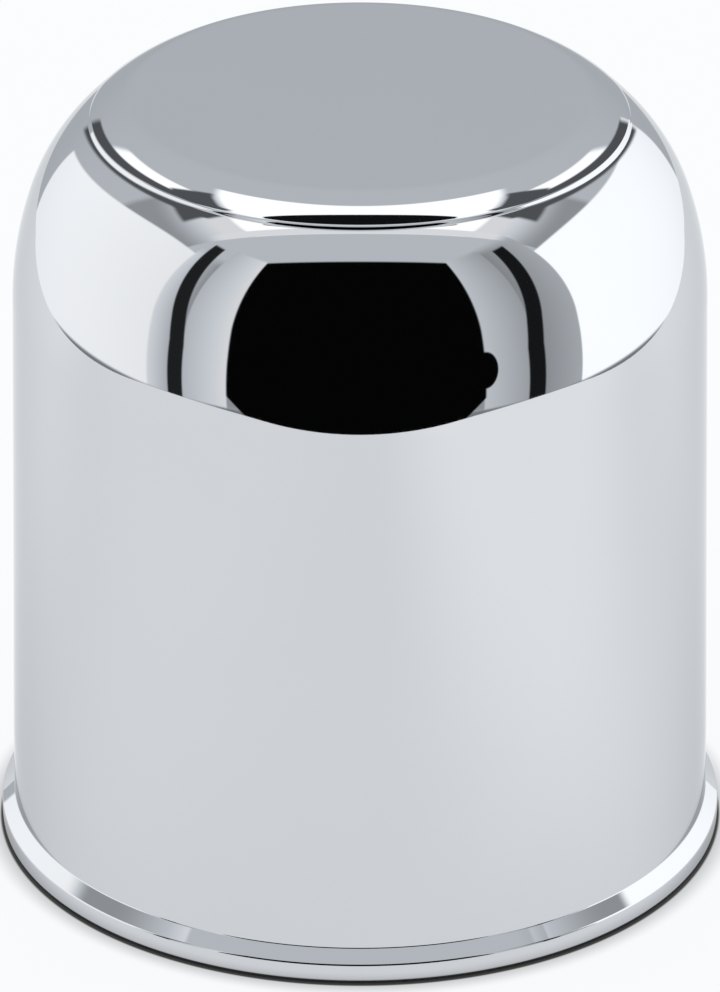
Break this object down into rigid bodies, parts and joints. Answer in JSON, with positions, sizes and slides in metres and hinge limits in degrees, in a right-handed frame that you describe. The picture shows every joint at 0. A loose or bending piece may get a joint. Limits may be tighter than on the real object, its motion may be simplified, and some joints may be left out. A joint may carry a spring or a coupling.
{
  "type": "wheel center cap",
  "caption": "Round chromed push-through cap that closes a wheel's centre bore: domed shoulder, raised flat top, open base with a small retaining flange.",
  "frame": {"origin": "centre of the base ring, on the cap's axis, in the plane that the flange's cut edge stands on", "axes": "+Z along the cap's axis, from the open base to the closed flat top; the cap is round, so X and Y are any pair square to Z"},
  "size_m": [0.112, 0.112, 0.1217],
  "materials": {
    "chrome": "bright polished chrome plate, mirror smooth outside"
  },
  "bodies": {
    "root": {"center_cap": "chrome"}
  },
  "joints": []
}
